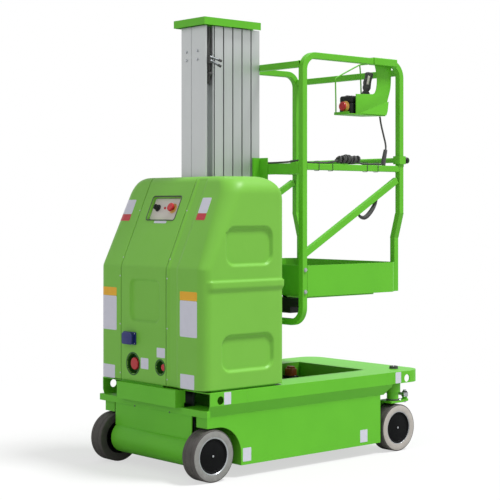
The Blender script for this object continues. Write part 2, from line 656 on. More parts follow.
@dataclass
class Covers:
    """Three moulded shells over the drive. Lengths in millimetres."""

    rear: float = -679.5
    fore: float = -197.5
    half: float = 392.0
    low: float = 402.0
    knee: float = 930.0
    top: float = 1343.0
    lean: float = 182.0
    wall: float = 5.0
    slot_rear: float = -432.5
    slot_half: float = 100.5
    seam_left: float = 214.0
    seam_right: float = -126.0
    gap: float = 4.4
    corner: float = 50.0
    corner_top: float = 84.0
    shoulder: float = 80.0
    brow: float = 110.0
    lip: float = 26.0
    flute: tuple[float, float] = (-204.0, -142.0)
    knobs: tuple = ((121.0, 482.0, 98.0), (-84.0, 482.0, 66.0))
    window: tuple[float, float, float, float] = (-62.0, 148.0, 236.0, 352.0)

    def heights(self) -> Points:
        """Heights of the rows: even up to the shoulder, then along its quarter circle."""
        start = self.top - self.brow
        flat = np.concatenate([
            np.linspace(self.low, self.knee - 6, 104),
            np.linspace(self.knee - 4, self.knee + 4, 5),
            np.linspace(self.knee + 6, start, 58)[:-1],
        ])
        turn = start + self.brow * np.sin(np.linspace(0, math.pi / 2, 26))
        return np.concatenate([flat, turn])

    def drawn_in(self, z: Points, r: float) -> Points:
        """How far a face with a shoulder of radius r stands in at height z: a quarter circle at the top."""
        up = np.clip(z - (self.top - r), 0, r)
        return r - np.sqrt(np.maximum(r * r - up * up, 0))

    def rear_x(self, z: Points) -> Points:
        """Rear face: upright to the knee, then leaning, with a small rounding at the knee and at the top."""
        soft = 3.0
        rise = soft * np.logaddexp(0, (z - self.knee) / soft)
        return self.rear + self.lean / (self.top - self.knee) * rise + self.drawn_in(z, self.lip) * 0.8

    def hollow(self, a: Points, b: Points, box: tuple, r: float, depth: float, wall: float) -> Points:
        """Depth of a moulded pocket: full inside a rounded rectangle, with a soft wall round it.

        Args:
            a: first coordinate over the face.
            b: second coordinate.
            box: middle and size in both coordinates.
            r: radius of the pocket's corners.
            depth: depth of its floor.
            wall: width of the sloping wall.

        Returns:
            How far each point moves inwards.
        """
        qa = np.abs(a - box[0]) - box[2] / 2 + r
        qb = np.abs(b - box[1]) - box[3] / 2 + r
        out = np.hypot(np.maximum(qa, 0), np.maximum(qb, 0)) + np.minimum(np.maximum(qa, qb), 0) - r
        return depth * soft_step(-out, wall)

    def relief(self, p: Points, normal: Points, right: bool) -> Points:
        """Moves the grid along its normals: side pockets, belt, rear pocket and flute."""
        x, y, z = p[..., 0], p[..., 1], p[..., 2]
        flank = soft_step(np.abs(normal[..., 1]) - 0.8, 0.25)
        back = soft_step(-normal[..., 0] - 0.75, 0.2)
        depth = flank * self.hollow(x, z, (-412.5, 1030, 268, 168), 46, 13, 11)
        depth += flank * self.hollow(x, z, (-422.5, 557, 298, 156), 46, 13, 11)
        belt = soft_step(z - 838, 26) * soft_step(877 - z, 8) * soft_step(x - self.rear - 34, 30)
        depth -= 9.6 * belt * soft_step(np.abs(normal[..., 1]) - 0.5, 0.5)
        if right:
            a, b = self.flute
            depth += back * 4 * soft_step(y - a, 9) * soft_step(b - y, 9)
        else:
            depth += back * self.hollow(y, z, (34.5, 777, 221, 190), 36, 11, 8) * (np.abs(y) < 200)
        return p - normal * depth[..., None]

    def normals(self, p: Points) -> Points:
        """Unit normals of a grid, from the cross product of its two directions."""
        n = np.cross(np.gradient(p, axis=1), np.gradient(p, axis=0))
        return n / (np.linalg.norm(n, axis=-1, keepdims=True) + 1e-9)

    def side_shell(self, side: Side) -> Points:
        """Grid of a side cover: rear face, corner, side, corner and front, row by row up to the top.

        Each row is the plan of the cover at its height, and the last rows close the top inwards to the seam
        and to the mast's slot.
        """
        seam = self.seam_left + self.gap / 2 if side is Side.LEFT else -self.seam_right + self.gap / 2
        z = self.heights()[:, None]
        half = self.half - self.drawn_in(z, self.shoulder)
        back = self.rear_x(z)
        fore = self.fore - self.drawn_in(z, self.brow)
        grow = np.clip((z - self.knee) / (self.top - self.knee), 0, 1)
        r = self.corner + (self.corner_top - self.corner) * grow
        rf = 36.0
        t = np.linspace(0, 1, 34)
        a = np.linspace(0, math.pi / 2, 15)
        along = np.linspace(0, 1, 84)
        rows = [
            (back + 0 * t, seam + (half - r - seam) * t),
            (back + r * (1 - np.cos(a)), half - r * (1 - np.sin(a))),
            (back + r + (fore - rf - back - r) * along, half + 0 * along),
            (fore - rf * (1 - np.sin(a)), half - rf * (1 - np.cos(a))),
            (fore + 0 * t, half - rf + (self.slot_half - half + rf) * t),
        ]
        x = np.concatenate([row[0] for row in rows], 1)
        y = np.concatenate([row[1] for row in rows], 1)
        wall = np.stack([x, side.value * y, np.broadcast_to(z, x.shape)], -1)
        if side is Side.LEFT:
            wall = wall[:, ::-1]
        return wall

    def lid(self, rim: Points, side: Side) -> Points:
        """Rows that close a side cover's top, from its last row straight in to the seam and the slot."""
        seam = self.seam_left + self.gap / 2 if side is Side.LEFT else -self.seam_right + self.gap / 2
        s = np.linspace(0, 1, len(rim)) if side is Side.RIGHT else np.linspace(1, 0, len(rim))
        back, fore = rim[:, 0].min(), rim[:, 0].max()
        bend_a, bend_b = 0.30, 0.36
        x = np.interp(s, [0, bend_a, bend_b, 1], [back, self.slot_rear + self.gap, self.slot_rear + self.gap, fore])
        y = np.interp(s, [0, bend_a, bend_b, 1], [seam, seam, self.slot_half, self.slot_half])
        inner = np.stack([x, side.value * y, np.full_like(x, self.top)], -1)
        t = np.linspace(0, 1, 10)[1:, None, None]
        return rim[None] + (inner - rim)[None] * t

    def side_cover(self, side: Side, name: str) -> bpy.types.Object:
        """Left or right shell, with its pockets and belt pressed in."""
        wall = self.side_shell(side)
        normal = self.normals(wall)
        shaped = self.relief(wall, normal, side is Side.RIGHT)
        shaped[-1] = wall[-1]
        rows = np.concatenate([shaped, self.lid(wall[-1], side)])
        piece = cast(name, [grid(rows)], SHELL, "chassis", outward=False, wall=self.wall, smooth=60)
        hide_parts("cover_left" if side is Side.LEFT else "cover_right")
        return piece

    def centre_cover(self) -> bpy.types.Object:
        """Middle shell: a strip up the rear and over the top, with its cups and window cut through."""
        lo, hi = self.seam_right + self.gap / 2, self.seam_left - self.gap / 2
        z = self.heights()
        y = np.linspace(lo, hi, 120)
        back = self.rear_x(z)
        face = np.stack(np.broadcast_arrays(back[:, None], y[None], z[:, None]), -1)
        top = np.stack(np.broadcast_arrays(
            np.linspace(back[-1], self.slot_rear, 10)[1:, None], y[None], np.full((9, 1), self.top)), -1)
        face = face[:, ::-1]
        shaped = self.relief(face, self.normals(face), False)
        rows = np.concatenate([shaped, top[:, ::-1]])
        points, faces = grid(rows)
        middle = points[np.array(faces)].mean(1)
        slope = (middle[:, 2] - self.knee) / math.cos(math.atan2(self.lean, self.top - self.knee))
        w = self.window
        cut = (middle[:, 1] > w[0]) & (middle[:, 1] < w[1]) & (slope > w[2]) & (slope < w[3])
        for ky, kz, d in self.knobs:
            cut |= np.hypot(middle[:, 1] - ky, middle[:, 2] - kz) < d / 2 - 2
        kept = [face for face, gone in zip(faces, cut) if not gone]
        piece = cast("centre_cover", [(points, kept)], SHELL, "chassis", outward=False,
                     wall=self.wall, smooth=60)
        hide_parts("cover_centre")
        return piece

    def build(self) -> None:
        """Makes the three shells."""
        self.side_cover(Side.LEFT, "left_cover")
        self.side_cover(Side.RIGHT, "right_cover")
        self.centre_cover()


# ---------------------------------------------------------------- running gear


@dataclass
class RunningGear:
    """Wheels, knuckles and their fasteners. Lengths in millimetres."""

    rear_x: float = -617.5
    front_x: float = 569.5
    wheel_y: float = 346.0
    radius: float = 115.0
    half: float = 40.0
    disc: float = 77.6
    arm: float = 88.0

    def tread(self) -> Points:
        """Outer profile of the tyre as a loop: bore, sides, rounded shoulders and two worn grooves."""
        r, h, s = self.radius, self.half, 5.0
        upper = arc(r - s, h - s, s, 0, 90, 7)
        lower = arc(r - s, s - h, s, -90, 0, 7)
        groove = [(r, -20), (r - 1.6, -19), (r - 1.6, -17), (r, -16)]
        return np.concatenate([
            [(self.disc, -h + 2), (self.disc + 2, -h + 0.6), (r - s - 2, -h + 0.2)],
            lower, groove, [(x, -y) for x, y in groove[::-1]], upper,
            [(r - s - 2, h - 0.2), (r - s - 5, h - 1.2), (self.disc + 3, h - 1.6), (self.disc, h - 3)],
        ])

    def wheel(self, end: str, x: float, side: Side) -> None:
        """One wheel: tread, pale side ring, bright rim lip, black dished disc and its centre cap."""
        label = f"{end}_{side.name.lower()}"
        body = f"wheel_{label}"
        at, out = (x, side.value * self.wheel_y, self.radius), (0, side.value, 0)
        h, r = self.half, self.radius
        tyre = cast(f"tyre_tread_{label}", [lathe(self.tread(), at, out, 96, closed=True)], TREAD, body,
                    smooth=40)
        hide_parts(f"tyre_{label}")
        ring = [(80.5, h - 3), (81, h - 0.4), (83, h), (r - 6.5, h + 0.3), (r - 4.6, h - 0.7), (r - 4.2, h - 3)]
        cast(f"tyre_side_{label}", [lathe(ring, at, out, 96, closed=True)], SIDE_GREY if end == "rear" else SIDE_PALE,
             body)
        lip = [(77, h - 5), (77, h - 1.6), (78.4, h - 0.6), (80.6, h - 1.2), (81, h - 5)]
        if end == "rear":
            lip = [(77, h - 5), (77, h - 1.2), (79, h + 0.4), (83.6, h + 0.6), (84, h - 5)]
        cast(f"rim_lip_{label}", [lathe(lip, at, out, 96, closed=True)], ZINC, body)
        disc = [(0, h - 6), (9, h - 6), (10, h - 6.8), (63, h - 7.2), (66, h - 8.4), (69, h - 7.8), (73, h - 5.4),
                (75.5, h - 4.2), (77.2, h - 4.8), (77.2, 4 - h), (70, 4 - h), (68, 9 - h), (68, h - 13),
                (30, h - 13), (30, 4 - h), (16.5, 4 - h), (16.5, h - 11), (0, h - 11)]
        piece = cast(f"wheel_disc_{label}", [lathe(disc, at, out, 96)], DISC, body)
        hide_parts(f"hub_{label}")
        cap = [(0, h - 5), (5.2, h - 5), (5, h - 3.6), (3.4, h - 2.6), (0, h - 2.4)]
        cast(f"grease_cap_{label}", [lathe(cap, at, out, 24)], ZINC, body)

    def knuckle(self, side: Side) -> None:
        """Fasteners and pivot parts of a front knuckle."""
        name = side.name.lower()
        y = side.value * self.wheel_y
        x = self.front_x + self.arm
        parts = hex_bolt((x, y, 285), (0, 0, 1), 9) + hex_bolt((x, y, 237), (0, 0, -1), 10)
        parts += hex_bolt((self.front_x + 22, y + side.value * 27, 247), (0, 0, 1), 7)
        cast(f"link_bolt_{name}", parts, ZINC, f"knuckle_{name}")
        boot = [(8.2, 279.4), (12, 279.6), (13.4, 281), (12.6, 283.2), (9.5, 284.6), (8.2, 284.8)]
        cast(f"link_boot_{name}", [lathe(boot, (x, y, 0), (0, 0, 1), 32, closed=True)], RUBBER, f"knuckle_{name}")
        collar = [(29.4, 247.4), (33, 248), (33, 254), (29.4, 254.6)]
        cast(f"kingpin_seal_{name}", [lathe(collar, (self.front_x, y, 0), (0, 0, 1), 40, closed=True)], RUBBER,
             f"knuckle_{name}")
        nipple = [(0, 0), (3, 0), (3, 5), (1.6, 7), (2.4, 9), (0, 10)]
        cast(f"grease_nipple_{name}", [lathe(nipple, (self.front_x + 28.5, y, 268), (1, 0, 0), 14)], ZINC,
             f"knuckle_{name}")

    def build(self) -> None:
        """Makes all wheels and knuckles and dresses the axles."""
        for end, x in (("rear", self.rear_x), ("front", self.front_x)):
            for side in Side:
                self.wheel(end, x, side)
        for side in Side:
            self.knuckle(side)
        dress(["knuckle_left", "knuckle_right", "front_axle"], PAINT)
        dress(["rear_axle"], STEEL)
        dress(["tie_rod"], ZINC)


# ---------------------------------------------------------------- labels


@dataclass
class Labels:
    """Blank plates of vinyl, each a sheet that follows the surface under it."""

    covers: Covers
    thick: float = 0.5

    def sheet(self, name: str, box: tuple, r: float, surface, finish: Finish, body: str, away: Sequence) -> None:
        """Lays a rounded sheet over a surface, in rings from its middle to its outline.

        Args:
            name: name of the piece.
            box: low and high of the first coordinate, then of the second.
            r: radius of the corners.
            surface: gives the points on the surface for arrays of both coordinates.
            finish: vinyl that shows.
            body: CAD body that carries it.
            away: direction in which the sheet stands off the surface.
        """
        a0, a1, b0, b1 = box
        outline = dense(rounded_outline(a1 - a0, b1 - b0, r, 5), 96)
        t = np.linspace(0.001, 1, 15)[:, None, None]
        flat = outline[None] * t + [(a0 + a1) / 2, (b0 + b1) / 2]
        at = surface(flat[..., 0], flat[..., 1])
        off = np.asarray(away, float) * self.thick
        top, rim = at + off, (at - off * 0.2)[-1:]
        cast(name, [grid(np.concatenate([top, rim]), close_cols=True)], finish, body)

    def rear(self, y: Points, z: Points) -> Points:
        """Point on the covers' rear face, bent round the corner: a quarter circle in plan."""
        c = self.covers
        grow = np.clip((z - c.knee) / (c.top - c.knee), 0, 1)
        r = c.corner + (c.corner_top - c.corner) * grow
        over = np.clip(np.abs(y) - (c.half - c.drawn_in(z, c.shoulder) - r), 0, r)
        return np.stack([c.rear_x(z) + r - np.sqrt(r * r - over * over), y, z], -1)

    def warning(self, name: str, box: tuple, split: float, low: Finish, high: Finish) -> None:
        """Two-colour plate on the covers, split at a height."""
        y0, y1, z0, z1 = box
        away = (-1, 0, 0.0) if z1 < self.covers.knee else (-0.91, 0, 0.4)
        self.sheet(name + "_low", (y0, y1, z0, split), 5, self.rear, low, "chassis", away)
        self.sheet(name + "_high", (y0, y1, split + 0.6, z1), 5, self.rear, high, "chassis", away)

    def side(self, y: float):
        """Surface of an upright side face at one Y, for (x, z)."""
        return lambda x, z: np.stack([x, np.full_like(x, y), z], -1)

    def build(self) -> None:
        """Sticks every plate that the photo shows, and the same ones on the far side."""
        self.warning("entry_plate_left", (276, 366, 1139, 1239), 1170, RED_VINYL, WHITE_VINYL)
        self.warning("entry_plate_right", (-281, -218, 1146, 1246), 1176, RED_VINYL, WHITE_VINYL)
        self.warning("notice_left", (250, 378, 628, 828), 788, WHITE_VINYL, YELLOW_VINYL)
        self.warning("notice_right", (-346, -226, 632, 832), 792, WHITE_VINYL, YELLOW_VINYL)
        for name, box in (
            ("load_plate_left", (263, 368, 402, 464)),
            ("load_plate_right", (-327, -229, 404, 468)),
            ("release_plate_left", (4, 62, 465, 515)),
            ("release_plate_right", (-119, -58, 526, 570)),
        ):
            self.sheet(name, box, 4, self.rear, WHITE_VINYL, "chassis", (-1, 0, 0))
        for side in Side:
            tag, out = side.name.lower(), (0, side.value, 0)
            for place, x0, x1 in (("rear", -572, -532), ("front", 530, 570)):
                self.sheet(f"lashing_plate_{place}_{tag}", (x0, x1, 338, 392), 3, self.side(side.value * 402),
                           WHITE_VINYL, "chassis", out)
            for place, x0, x1 in (("rear", -444, -395), ("front", 304, 354)):
                self.sheet(f"wheel_plate_{place}_{tag}", (x0, x1, 70, 130), 3, self.side(side.value * 380),
                           WHITE_VINYL, "chassis", out)


# ---------------------------------------------------------------- ground controls


@dataclass
class GroundControls:
    """Panel in its recess in the leaning face, charger inlet and release knobs."""

    covers: Covers

    def lean(self, x: float, y: float, z: float) -> Points:
        """Point given along the leaning face: x into the cover, z up the slope from the knee."""
        c = self.covers
        a = math.atan2(c.lean, c.top - c.knee)
        return np.array([c.rear + x * math.cos(a) + z * math.sin(a), y, c.knee - x * math.sin(a) + z * math.cos(a)])

    def axes(self) -> tuple[Points, Points, Points]:
        """Out of the panel, across it and up it, as unit vectors."""
        out = self.lean(0, 0, 0) - self.lean(1, 0, 0)
        up = self.lean(0, 0, 1) - self.lean(0, 0, 0)
        return out, np.cross(up, out), up

    def panel(self) -> None:
        """Control plate with its key switch, lamp, stop button and screws."""
        out, across_it, up = self.axes()
        plate = slab(rounded_outline(204, 110, 8, 5), 22, 1.4)
        face = cast("ground_plate", [placed(plate, self.lean(36, 43, 294), across_it, up)], PLATE, "chassis")
        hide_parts("ground_panel")
        tub = []
        w = self.covers.window
        y0, y1, z0, z1 = w[0], w[1], w[2], w[3]
        ring = rounded_outline(y1 - y0 - 2, z1 - z0 - 2, 10, 6)
        rows = np.stack([np.column_stack([ring * s, np.full(len(ring), d)]) for s, d in
                         ((1.0, -1.2), (0.995, -6), (0.985, -30), (0.97, -37), (0.5, -37.2), (0.01, -37.2))])
        tub.append(placed(grid(rows, close_cols=True), self.lean(0, (y0 + y1) / 2, (z0 + z1) / 2), across_it, up))
        cast("ground_recess", tub, SHELL, "chassis", outward=False)
        seal = tube(np.stack([*rounded_outline(y1 - y0 + 4, z1 - z0 + 4, 12, 6).T,
                              np.zeros(28)], 1), 2.2, 8, (0, 0, 1), closed=True)
        cast("recess_seal", [placed(seal, self.lean(-0.4, (y0 + y1) / 2, (z0 + z1) / 2), across_it, up)], RUBBER,
             "chassis")
        key_at = self.lean(14, 105, 300)
        key = [(0, 0), (17, 0), (17, 3), (15, 5), (13, 5.5), (13, 20), (11, 22), (8, 22), (7, 20), (0, 20)]
        bow = placed(slab(rounded_outline(22, 13, 5, 5), 3, 1), self.lean(-7.5, 103.5, 300), up, out)
        cast("key_switch", [lathe(key, key_at, out, 32), bow], HOUSING, "chassis")
        lamp = [(0, 0), (6, 0), (6, 2), (4.4, 2.4), (4.2, 5), (2.6, 6.4), (0, 6.8)]
        cast("ready_lamp", [lathe(lamp, self.lean(14, 52, 300), out, 24)], RED, "chassis")
        collar = [(0, 0), (24, 0), (24, 2.4), (22, 4), (0, 4)]
        cast("ground_stop_collar", [lathe(collar, self.lean(14, -10, 298), out, 40)], AMBER, "chassis")
        self.stop("ground_stop", self.lean(10, -10, 298), out, 20)
        screws = [pan_screw(self.lean(13.8, y, z), out, 7) for y in (-50, 137) for z in (246, 342)]
        cast("panel_screws", screws, ZINC, "chassis")
        strip = placed(slab(rounded_outline(92, 12, 4, 5), 0.6, 0.2), self.lean(-0.1, 34, 224), across_it, up)
        cast("panel_strip", [strip], WHITE_VINYL, "chassis")

    def stop(self, name: str, at: Points, out: Points, r: float, body: str = "chassis") -> None:
        """Mushroom stop button: a neck, and a head with a rounded rim and a shallow dish."""
        head = [(0, 0), (0.5 * r, 0), (0.5 * r, 0.35 * r), (0.92 * r, 0.42 * r), (r, 0.55 * r), (r, 0.8 * r),
                (0.93 * r, 0.95 * r), (0.8 * r, r), (0.5 * r, 0.96 * r), (0, 0.94 * r)]
        cast(name, [lathe(head, at, out, 48)], RED, body)

    def charger(self) -> None:
        """Blue inlet: back plate, body, hinged lid with its lip, and two screws."""
        x = self.covers.rear
        body = [placed(slab(rounded_outline(95, 58, 5, 5), 7, 1), (x, 142.5, 599), (0, -1, 0), (0, 0, 1)),
                placed(slab(rounded_outline(74, 50, 9, 6), 12, 2), (x - 6, 140, 598), (0, -1, 0), (0, 0, 1)),
                placed(slab(rounded_outline(78, 54, 10, 6), 6, 2.4), (x - 19, 139, 598), (0, -1, 0), (0, 0, 1)),
                lathe([(0, -30), (4, -30), (4.4, -29), (4.4, 29), (4, 30), (0, 30)], (x - 20, 139, 623), (0, 1, 0), 16)]
        piece = cast("charger_lid", body, BLUE, "chassis")
        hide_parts("charger_inlet")
        screws = [pan_screw((x - 6.8, y, z), (-1, 0, 0), 6) for y in (184, 101) for z in (577, 621)]
        cast("charger_screws", screws, ZINC, "chassis")

    def knobs(self) -> None:
        """Two release knobs, each in a round cup that goes into the cover."""
        c = self.covers
        out = (-1, 0, 0)
        cups, grips = [], []
        for (y, z, d), shift, share in zip(c.knobs, (0.0, 13.0), (0.29, 0.24)):
            r = d / 2 - 2
            cup = [(r + 7, -0.4), (r + 6.6, 0.7), (r + 1, 1.2), (r, 0), (r - 1, -30), (r - 4, -33), (0, -33)]
            cups.append(lathe(cup, (c.rear, y, z), out, 56))
            k = share * d
            ring = [(k * 1.12, -30), (k * 1.12, -25), (k * 0.6, -24)]
            grip = [(0, -33), (k * 0.5, -33), (k * 0.5, -20), (k * 0.94, -18), (k, -15.5), (k, -9), (k * 0.95, -6.6),
                    (k * 0.8, -5.6), (k * 0.34, -6.4), (0, -6.6)]
            grips.append(lathe(grip, (c.rear, y - shift, z), out, 40))
            cups.append(lathe(ring, (c.rear, y - shift, z), out, 40))
        piece = cast("release_cups", cups, CUP, "chassis")
        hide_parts("release_knobs")
        cast("release_grips", grips, RED, "chassis")

    def screws(self) -> None:
        """Cover screws along the seams, each on the leaning or the upright face."""
        out, _, _ = self.axes()
        c = self.covers
        parts = [pan_screw(self.lean(1.5, y, z), out, 7.5) for y in (-133, 221) for z in (44, 282)]
        parts += [pan_screw((c.rear + 0.6, y, z), (-1, 0, 0), 7.5) for y in (-134, 222) for z in (884, 660, 432)]
        cast("cover_screws", parts, ZINC, "chassis")

    def build(self) -> None:
        """Makes the panel, the charger inlet, the knobs and the screws."""
        self.panel()
        self.charger()
        self.knobs()
        self.screws()


# ---------------------------------------------------------------- chassis


@dataclass
class Chassis:
    """Small parts on the chassis: buffer, battery tops and contactor. Lengths in millimetres."""

    deck: float = 394.0
    case_top: float = 290.0
    case: tuple[float, float, float, float] = (62.5, 462.5, -223.0, 223.0)
    buffer_at: tuple[float, float] = (635.5, -292.0)

    def buffer(self) -> None:
        """Ribbed rubber buffer on the deck, with the bolt in its cup."""
        at, up = (*self.buffer_at, self.deck), (0, 0, 1)
        profile = [(0, 0), (22, 0), (23, 1.2), (22.4, 3), (20.6, 4.6), (21.8, 6.4), (22, 9), (20.8, 12.2), (18, 13.7),
                   (10, 14), (9, 11), (0, 11)]
        piece = cast("buffer", [lathe(profile, at, up, 48)], RUBBER, "chassis")
        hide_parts("deck_buffer")
        cast("buffer_bolt", hex_bolt((*self.buffer_at, self.deck + 9.6), up, 5), ZINC, "chassis")

    def batteries(self) -> None:
        """Four lids with seams between them, three vent caps on each, and the posts with their cables."""
        x0, x1, y0, y1 = self.case
        xm, ym, z = (x0 + x1) / 2, (y0 + y1) / 2, self.case_top
        centres = [(x, y) for x in ((x0 + xm) / 2, (x1 + xm) / 2) for y in ((y0 + ym) / 2, (y1 + ym) / 2)]
        wide, long = (x1 - x0) / 2 - 6, (y1 - y0) / 2 - 6
        lids = [placed(slab(rounded_outline(wide, long, 8, 5), 5, 1.5), (x, y, z - 0.2), (1, 0, 0), (0, 1, 0))
                for x, y in centres]
        cap = [(0, 0), (13, 0), (13, 5), (12, 6.4), (9, 7), (8.4, 6.2), (2.4, 6.2), (2, 7), (0, 7)]
        caps = [lathe(cap, (x - 42, y + dy, z + 4.6), (0, 0, 1), 28) for x, y in centres for dy in (-56, 0, 56)]
        cast("battery_lids", lids, BATTERY, "chassis")
        cast("battery_caps", caps, AMBER, "chassis")
        post = [(0, 0), (15, 0), (15, 3), (9, 4), (8.4, 16), (7.4, 17), (0, 17)]
        posts = [lathe(post, (x + 58, y + dy, z + 4.6), (0, 0, 1), 28) for x, y in centres for dy in (-78, 78)]
        cast("battery_posts", posts, ZINC, "chassis")
        high = z + 17
        leads = []
        for (xa, ya), (xb, yb) in zip(centres[::2], centres[1::2]):
            leads.append(tube(smooth_path([(xa + 58, ya + 78, high), (xa + 60, ya + 84, high + 12),
                                           (xa + 60, (ya + yb) / 2, high + 18), (xb + 60, yb - 84, high + 12),
                                           (xb + 58, yb - 78, high)], 40), 6, 12))
        (xa, ya), (xb, yb) = centres[1], centres[3]
        leads.append(tube(smooth_path([(xa + 58, ya + 78, high), (xa + 72, ya + 80, high + 14),
                                       ((xa + xb) / 2 + 40, ya + 84, high + 12), (xb + 30, yb + 82, high + 14),
                                       (xb + 58, yb + 78, high)], 40), 6, 12))
        cast("battery_leads", leads, RUBBER, "chassis")

    def contactor(self) -> None:
        """Main contactor beside the batteries' tops: black base, orange-brown coil, two studs with nuts."""
        base = brick((352, 150, 294), (400, 222, 336), 2, 5)
        cast("contactor_base", [base], HOUSING, "chassis")
        coil = [brick((356, 158, 335.5), (396, 214, 374), 3, 8), brick((362, 166, 373.5), (390, 206, 384), 2, 6)]
        cast("contactor_coil", coil, RUST, "chassis")
        studs = [part for y in (154, 218) for part in hex_bolt((376, y, 335.6), (0, 0, 1), 5)]
        cast("contactor_studs", studs, ZINC, "chassis")

    def ledge(self) -> None:
        """Small screws under the rear ledge."""
        low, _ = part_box("rear_panel")
        parts = [pan_screw((low[0] / METRE + 2.2, y, 293), (-1, 0, 0), 8) for y in (82, -176)]
        cast("ledge_screws", parts, STEEL, "chassis")

    def build(self) -> None:
        """Makes the buffer, the batteries' tops, the contactor and the ledge's screws."""
        self.buffer()
        self.batteries()
        self.contactor()
        self.ledge()


# ---------------------------------------------------------------- mast


@dataclass
class Mast:
    """Hoses and fasteners on the mast. Lengths in millimetres."""

    rear: float = -420.5
    top: float = 2046.0
    channel: float = -393.5
    low: float = 1780.0
    clamp: float = 1870.0

    def hoses(self) -> None:
        """Two hoses out of the mast's web, up the open channel and under the cap.

        Above the clamp each wears a ribbed sleeve: its radius rises and falls with the length.
        """
        x, z = self.channel, self.low
        parts = []
        for y, sway in ((-78.5, 2.5), (-64.5, -2.5)):
            way = smooth_path([(x, -50, z), (x, y + 9, z + 1), (x, y + 1, z + 12), (x + sway, y, z + 45),
                               (x, y, z + 100), (x - sway, y, z + 170), (x + sway, y, z + 220), (x, y, self.top - 3)],
                              160)
            ribs = np.where(way[:, 2] > self.clamp + 34, 0.9 * np.sin(FULL_TURN * way[:, 2] / 9), 0)
            parts.append(tube(way, 6 + ribs, 14, (1, 0.2, 0)))
        parts.append(brick((x - 11, -100.5, self.clamp), (x + 11, -52.5, self.clamp + 30), 2, 3))
        parts.append(brick((x - 9, -97, self.clamp - 52), (x + 9, -56, self.clamp - 40), 2, 3))
        piece = cast("mast_hose_run", parts, RUBBER, "chassis", smooth=50)
        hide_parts("mast_hoses")

    def fittings(self) -> None:
        """Two plated hose ends in the clamp, which point forward and droop, with black tails."""
        x = self.channel
        unions, tails = [], []
        for z, droop in ((self.clamp + 28, -0.30), (self.clamp + 10, -0.46)):
            way = np.array([0.74, -0.42, droop])
            way /= np.linalg.norm(way)
            at = np.array([x + 2, -98.0, z])
            nut = [(0, -8), (6.6, -8), (7, -7), (7, 4), (6.4, 5), (0, 5)]
            stem = [(0, 4), (4.6, 4), (4.6, 16), (5.6, 17), (5.6, 34), (4.4, 35), (0, 35)]
            tail = [(0, 34), (5.4, 34), (6.4, 35.5), (6.4, 50), (5.6, 52), (0, 52)]
            unions += [lathe(nut, at, way, 6), lathe(stem, at, way, 20)]
            tails.append(lathe(tail, at, way, 20))
        cast("hose_unions", unions, DULL_ZINC, "chassis")
        cast("hose_tails", tails, RUBBER, "chassis")

    def bolts(self) -> None:
        """Four bolts in the mast's rear face."""
        rear = [part for y in (51, -29) for z in (1932, 1892) for part in hex_bolt((self.rear, y, z), (-1, 0, 0), 7)]
        cast("mast_bolts", rear, ZINC, "chassis")

    def build(self) -> None:
        """Makes the hoses, their ends and the bolts."""
        self.hoses()
        self.fittings()
        self.bolts()


# ---------------------------------------------------------------- platform


